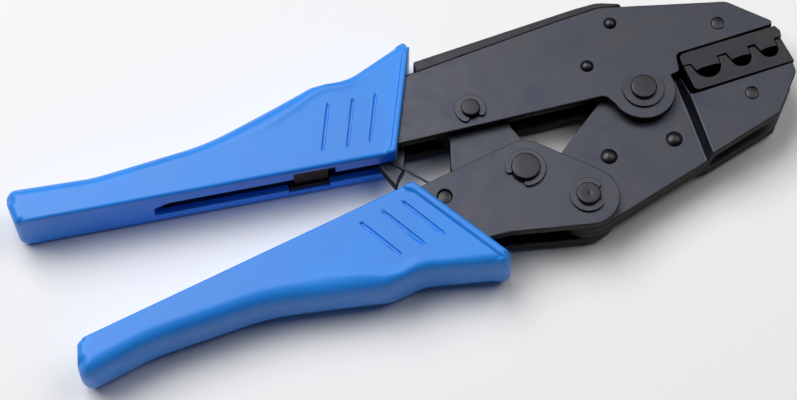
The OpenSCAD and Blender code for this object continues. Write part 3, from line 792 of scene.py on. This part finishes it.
handle = {
    "hub": 8.9, "thickness": 3.0, "stack": 13.6, "edge": 0.3,
    "corners": [
        [-58.9, -14.2, 12], [-67, -16.4, 3], [-80, -21.2, 0], [-109, -30, 2], [-107, -38, 2], [-72, -37.5, 8],
        [-47.4, -35.9, 8],
    ],
}


def handleLoop():
    corners = [[x, y, 0] for x, y in circlePoints(toggleAt, handle["hub"], 53, 104, 16)] + handle["corners"]
    corners += [[x, y, 0] for x, y in circlePoints(kneeAt, handle["hub"], 265, 412.9, 40)]
    return anticlockwise(roundedLoop(corners))


handleHoles = [hole(toggleAt, 8.3), hole(kneeAt, 6.8), hole(springAt, 4.3)]
t = handle["thickness"]
for name, low, node in (("frontHandlePlate", middle + handle["stack"] / 2 - t, "handle_plate_front"),
                        ("backHandlePlate", middle - handle["stack"] / 2, "handle_plate_back")):
    addPiece(name, "handle", [plateShell([handleLoop()] + handleHoles, low, low + t, handle["edge"])],
             plateSteel, [node])

# Springs of round wire

returnSpring = {
    "wire": 0.7, "coil": 2.8, "pitch": 0.75, "leave": 47.0, "leg": 29.0, "height": 11.42, "end": 21.0,
}


# A helix: at + radius (cos a, sin a), falling by one pitch each turn that it runs back
def coilPath(at, radius, start, end, startHeight, pitch):
    count = int(abs(end - start) / 9) + 1
    turned = np.linspace(start, end, count + 1)
    a = np.radians(turned)
    z = startHeight - pitch * (start - turned) / 360
    return np.column_stack([at[0] + radius * np.cos(a), at[1] + radius * np.sin(a), z])


def straightPath(start, angle, length, steps):
    d = np.array([math.cos(math.radians(angle)), math.sin(math.radians(angle)), 0])
    return np.asarray(start) + np.linspace(0, length, steps + 1)[1:, None] * d


s = returnSpring
turn = coilPath(springAt, s["coil"], s["leave"], s["leave"] - 355, s["height"], s["pitch"])
leg = straightPath(turn[0], s["leave"] + 90, s["leg"], 24)
addPiece("returnSpringLeg", "spring_leg", [wireShell(np.concatenate([leg[::-1], turn]), s["wire"])],
         clipSteel, ["return_spring_leg"])
lower = coilPath(springAt, s["coil"], s["leave"] - 360, -1160, s["height"] - s["pitch"], s["pitch"])
shortEnd = straightPath(lower[-1], 190, s["end"], 18)
addPiece("returnSpringCoil", "handle", [wireShell(np.concatenate([lower, shortEnd]), s["wire"])],
         clipSteel, ["return_spring_coil"])
coil = coilPath(pawlAt, 2.5, 90, -620, 6.05, 0.32)
addPiece("pawlSpring", "frame", [wireShell(np.concatenate([
    straightPath(coil[0], 180, 9.5, 8)[::-1], coil, straightPath(coil[-1], 10, 3, 4)
]), 0.6)], clipSteel, ["pawl_spring"])
print("link, pawl, handle and springs made")

# Moulded grips

gripSpecs = {
    "upperGrip": {
        "at": [-73.4, -4.9], "turn": 0.0, "flip": 1, "lean": 9.6, "length": 109.6, "back": 2.6,
        "inner": 1.2, "body": "frame", "node": "upper_grip",
        "grooves": [([-20.6, 4.2], [-16.6, 17.3]), ([-13.4, 4.0], [-9.3, 17.4]), ([-6.8, 4.2], [-2.7, 17.5])],
        "rim": 2.1, "rimSoft": 0.7, "innerRoll": (1.0, 0.9), "slot": True,
    },
    "lowerGrip": {
        "at": [-70.9, -15.8], "turn": 15.7, "flip": -1, "lean": 13.4, "length": 104.2, "back": 4.8,
        "inner": 0.0, "body": "handle", "node": "lower_grip",
        "grooves": [([-18.8, 4.9], [-13.5, 17.9]), ([-11.7, 4.6], [-6.3, 17.9]), ([-5.3, 4.8], [0.1, 18.0])],
        "rim": 2.9, "rimSoft": 1.1, "innerRoll": (0.7, 0.6), "slot": False,
    },
}
gripShape = {
    "face": 17.25, "raise": 0.75, "outerDrop": 6.6, "leftRoll": (2.4, 2.6), "endRoll": (0.9, 0.9),
    "grooveWidth": 1.05, "grooveDepth": 0.6,
    "rollWidth": [(-111, 4.6), (-60, 4.8), (-35, 5.4), (-24, 4.2), (-16, 2.4), (-8, 3.2), (6, 3.6)],
}


# Distance from each point to the nearest stretch of a line
def distanceTo(points, line):
    best = np.full(len(points), 1e9)
    for a, b in zip(line[:-1], line[1:]):
        ab = b - a
        share = np.clip((points - a) @ ab / max(ab @ ab, 1e-12), 0, 1)
        best = np.minimum(best, np.linalg.norm(points - a - share[:, None] * ab, axis=1))
    return best


# Drop of a rounded shoulder: none past its width, all of its height at the edge, and between them
# height (1 - (1 - x^p)^(1/p)), part of a superellipse
def shoulder(distance, width, height, power=2.0):
    x = np.clip(1 - distance / width, 0, 1)
    return height * (1 - (1 - x ** power) ** (1 / power))


# A grid over the outline. Its height is the face, plus rim and swell, less the grooves and the fourth-power
# sum of the shoulders' drops; the lower half mirrors the upper one, with straight walls between.
def gripShell(grip):
    lean, length, back, out = grip["lean"], grip["length"], grip["back"], grip["inner"]
    endSlope, freeSlope = (lean + 0.6) / 31.8, -back / (11 + out)
    runs = roundedRuns([
        [-out * endSlope, -out, 1.5], [-length, -out, 1.8], [-length - back, 11, 3.2], [-86, 10.2, 45],
        [-53, 14.2, 70], [-20.5, 25.6, 9], [-9.5, 25.8, 16], [lean, 35, 1.8], [lean + 0.6, 31.8, 2],
    ], 18)
    loop = np.concatenate(runs + [runs[0][:1]])
    innerLine, leftLine = np.concatenate([runs[0], runs[1]]), np.concatenate([runs[1], runs[2]])
    outerLine = np.concatenate(runs[2:8])
    endLine = np.concatenate([runs[7], runs[8], runs[0]])

    # Lines across the grip lean with its plate end and stand nearly square at its free end
    grooveAt = [low[0] - endSlope * low[1] for low, _ in grip["grooves"]]
    start = -length + freeSlope * out
    fine = np.array([0.08, 0.22, 0.34, 0.44, 0.53, 0.64, 0.82])
    s = np.concatenate(
        [start + 0.002 + 2.6 * (1 - np.cos(np.linspace(0, math.pi / 2, 14))), np.arange(start + 3, -24, 0.8)]
        + [np.arange(-24, -grip["rim"] - 1, 0.5)]
        + [c + sign * fine for c in grooveAt for sign in (-1, 1)]
        + [np.arange(-grip["rim"] - 1, -1.1, 0.13)]
        + [-0.002 - 1.1 * (1 - np.cos(np.linspace(0, math.pi / 2, 10)))]
    )
    s = np.sort(s)
    s = s[np.concatenate([[True], np.diff(s) > 0.02])]
    slope = freeSlope + (endSlope - freeSlope) * smoothRise((s + 92) / 64)

    low, top = np.empty(len(s)), np.empty(len(s))
    for i, (position, slant) in enumerate(zip(s, slope)):
        g = loop[:, 0] - position - slant * loop[:, 1]
        k = np.flatnonzero(g[:-1] * g[1:] <= 0)
        share = g[k] / (g[k] - g[k + 1] + 1e-15)
        y = loop[k, 1] + share * (loop[k + 1, 1] - loop[k, 1])
        low[i], top[i] = y.min(), y.max()

    widths = np.array(gripShape["rollWidth"])
    roll = np.interp(s + 0.32 * 20 * smoothRise((s + 60) / 40), widths[:, 0], widths[:, 1])
    innerWidth = grip["innerRoll"][0]
    inner = innerWidth * (1 - np.cos(np.linspace(0, math.pi / 2, 8)))
    outer = (1 - np.cos(np.linspace(0, math.pi / 2, 16)))[::-1]
    between = np.linspace(0, 1, 44)[1:-1]
    rollHigh = roll * 1.12
    y = np.concatenate([
        low[:, None] + inner[None, :],
        (low + innerWidth)[:, None] + (top - rollHigh - low - innerWidth)[:, None] * between[None, :],
        top[:, None] - rollHigh[:, None] * outer[None, :],
    ], 1)
    x = s[:, None] + slope[:, None] * y
    points = np.column_stack([x.ravel(), y.ravel()])

    toOuter, toEnd = distanceTo(points, outerLine), distanceTo(points, endLine)
    widthHere = np.interp(points[:, 0], widths[:, 0], widths[:, 1])
    drops = [
        shoulder(distanceTo(points, innerLine), *grip["innerRoll"]),
        shoulder(distanceTo(points, leftLine), *gripShape["leftRoll"]),
        shoulder(toEnd, *gripShape["endRoll"]),
        shoulder(toOuter, widthHere, gripShape["outerDrop"], 2.2),
    ]
    drop = np.sum([d ** 4 for d in drops], 0) ** 0.25
    rise = gripShape["raise"] * (1 - smoothRise((toEnd - grip["rim"] + grip["rimSoft"]) / grip["rimSoft"]))
    swell = 0.22 * np.exp(-((toOuter - widthHere - 0.4) / 1.1) ** 2) * smoothRise((points[:, 0] + 44) / 22)
    swell = swell * smoothRise((-4 - points[:, 0]) / 8)
    cut = np.zeros(len(points))
    for a, b in grip["grooves"]:
        away = distanceTo(points, np.array([a, b], float)) / (gripShape["grooveWidth"] / 2)
        cut = np.maximum(cut, gripShape["grooveDepth"] * (1 - smoothRise((away - 0.45) / 0.6)))
    z = gripShape["face"] + rise + swell - drop - cut
    z = np.minimum(z, gripThickness)

    rows, columns = y.shape
    index = np.arange(rows * columns).reshape(rows, columns)
    a, b, c, d = index[:-1, :-1], index[1:, :-1], index[1:, 1:], index[:-1, 1:]
    topQuads = np.stack([a, b, c, d], -1).reshape(-1, 4)
    border = np.concatenate([index[:-1, 0], index[-1, :-1], index[:0:-1, -1], index[0, :0:-1]])
    size, wallSteps = rows * columns, 7
    upperHalf = np.column_stack([points, z])
    lowerHalf = np.column_stack([points, gripThickness - z])
    walls = []
    for k in range(1, wallSteps):
        share = k / wallSteps
        walls.append(upperHalf[border] * (1 - share) + lowerHalf[border] * share)
    count = len(border)
    rings = [2 * size + k * count + np.arange(count) for k in range(wallSteps - 1)]
    rings = [border] + rings + [size + border]
    wallQuads = [
        np.column_stack([p, q, np.roll(q, -1), np.roll(p, -1)]) for p, q in zip(rings[:-1], rings[1:])
    ]
    quads = np.concatenate([topQuads, topQuads[:, ::-1] + size] + wallQuads)
    solid = np.concatenate([upperHalf, lowerHalf] + walls)

    turn = math.radians(grip["turn"])
    flat = solid[:, :2] * [1, grip["flip"]]
    placed = flat @ np.array([[math.cos(turn), math.sin(turn)], [-math.sin(turn), math.cos(turn)]])
    solid[:, :2] = placed + grip["at"]
    if grip["flip"] < 0:
        quads = quads[:, ::-1]
    return shell(solid, quads)


# Takes the cutter's solid out of a piece and keeps the piece's own smooth shading
def cutAway(piece, shells, sharpAngle):
    cutter = bpy.data.objects.new("cutter", buildMesh("cutter", shells, sharpAngle))
    bpy.context.scene.collection.objects.link(cutter)
    cut = piece.modifiers.new("cut", "BOOLEAN")
    cut.operation, cut.object, cut.solver = "DIFFERENCE", cutter, "EXACT"
    graph = bpy.context.evaluated_depsgraph_get()
    mesh = bpy.data.meshes.new_from_object(piece.evaluated_get(graph))
    piece.modifiers.remove(cut)
    old, piece.data = piece.data, mesh
    bpy.data.meshes.remove(old)
    bpy.data.objects.remove(cutter)
    mesh.set_sharp_from_angle(angle=math.radians(sharpAngle))


# Openings in the upper grip's inner face: outline along the face and up it, from one depth to another.
# The slot widens behind its lips, so that the plates show as its dark sides.
gripOpenings = [
    ([[-70.9, 5, 1.2], [2, 5, 0], [2, 11.8, 0], [-66.5, 11.8, 3], [-70.9, 9.4, 1.5]], -3.0, 2.0),
    ([[-71.6, 4.6, 0], [2, 4.6, 0], [2, 13.4, 0], [-71.6, 13.4, 0]], 1.85, 6.5),
    ([[-30.2, 8.9, 0], [-18.1, 8.9, 0], [-18.1, 15.2, 0.2], [-30.2, 15.2, 0.2]], -3.0, 2.2),
    ([[-32.0, 3.6, 0.2], [-19.9, 3.6, 0.2], [-19.9, 9.1, 0], [-32.0, 9.1, 0]], -3.0, 2.2),
]


# Each opening is drawn flat, then stood up to face the inner face
def gripCutters(grip):
    cutters = []
    for loop, start, end in gripOpenings:
        flat = plateShell([anticlockwise(roundedLoop(loop, 6))], -end, -start, 0.05, 1)
        p = flat["points"].copy()
        depth = grip["at"][1] - grip["inner"] - p[:, 2]
        flat["points"] = np.column_stack([p[:, 0] + grip["at"][0], depth, p[:, 1]])
        cutters.append(flat)
    return cutters


for name, grip in gripSpecs.items():
    piece = addPiece(name, grip["body"], [gripShell(grip)], gripPlastic, [grip["node"]], 42)
    if grip["slot"]:
        for cutter in gripCutters(grip):
            cutAway(piece, [cutter], 42)
    print(name, len(piece.data.polygons), "faces")

# CAD pieces that stay as they are take real finishes

for node, material in {
    "frame_core": plateSteel, "tang_spacer": brownSteel,
    "handle_spacer": plateSteel, "handle_rivets": pinSteel,
}.items():
    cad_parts[node].data.materials.clear()
    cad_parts[node].data.materials.append(material)

# Floor, light and camera

floorMaterial, floorShader = newMaterial("whitePaperSweep")
floorShader.inputs["Base Color"].default_value = linearColour("#f4f4f4")
floorShader.inputs["Roughness"].default_value = 0.9
floorMesh = bpy.data.meshes.new("floor")
floorMesh.from_pydata([(-3, -3, 0), (3, -3, 0), (3, 3, 0), (-3, 3, 0)], [], [(0, 1, 2, 3)])
floorMesh.materials.append(floorMaterial)
floor = bpy.data.objects.new("floor", floorMesh)
bpy.context.scene.collection.objects.link(floor)

world = bpy.data.worlds.new("studio")
world.use_nodes = True
# Bright overhead and behind, darker low in front, as in a light tent open to the viewer
overhead = addNode(world, "ShaderNodeVectorMath", {"operation": "DOT_PRODUCT", 1: (0.0, 0.6, 0.8)},
                   {0: addNode(world, "ShaderNodeTexCoord").outputs["Generated"]}).outputs["Value"]
glow = addNode(world, "ShaderNodeMapRange", {
    "From Min": -0.1, "From Max": 0.9, "To Min": 0.16, "To Max": 1.0,
}, {"Value": overhead}).outputs["Result"]
world.node_tree.links.new(glow, world.node_tree.nodes["Background"].inputs["Strength"])
bpy.context.scene.world = world
bpy.context.scene.view_settings.view_transform = "Standard"


def addLamp(name, place, target, size, power):
    lamp = bpy.data.lights.new(name, "AREA")
    lamp.shape, lamp.size, lamp.size_y, lamp.energy = "RECTANGLE", size[0], size[1], power
    holder = bpy.data.objects.new(name, lamp)
    holder.location = place
    holder.rotation_mode = "QUATERNION"
    holder.rotation_quaternion = (Vector(place) - Vector(target)).to_track_quat("Z", "Y")
    bpy.context.scene.collection.objects.link(holder)


addLamp("keySoftbox", (-0.5, 0.6, 1.2), (0, 0, 0), (1.3, 1.0), 21)
addLamp("fillSoftbox", (0.8, 0.2, 1.2), (0, 0, 0), (0.9, 0.9), 6)

camera = bpy.data.cameras.new("camera")
camera.lens, camera.sensor_width = 106.6, 36.0
cameraHolder = bpy.data.objects.new("camera", camera)
eye, target = Vector((-0.0606, -0.27304, 0.6235)), Vector((-0.0062, -0.00804, 0.016))
back = (eye - target).normalized()
right = Vector((0.184, 0.895, 0.407)).cross(back).normalized()
pose = Matrix((right, back.cross(right), back)).transposed().to_4x4()
pose.translation = eye
cameraHolder.matrix_world = pose
bpy.context.scene.collection.objects.link(cameraHolder)
bpy.context.scene.camera = cameraHolder
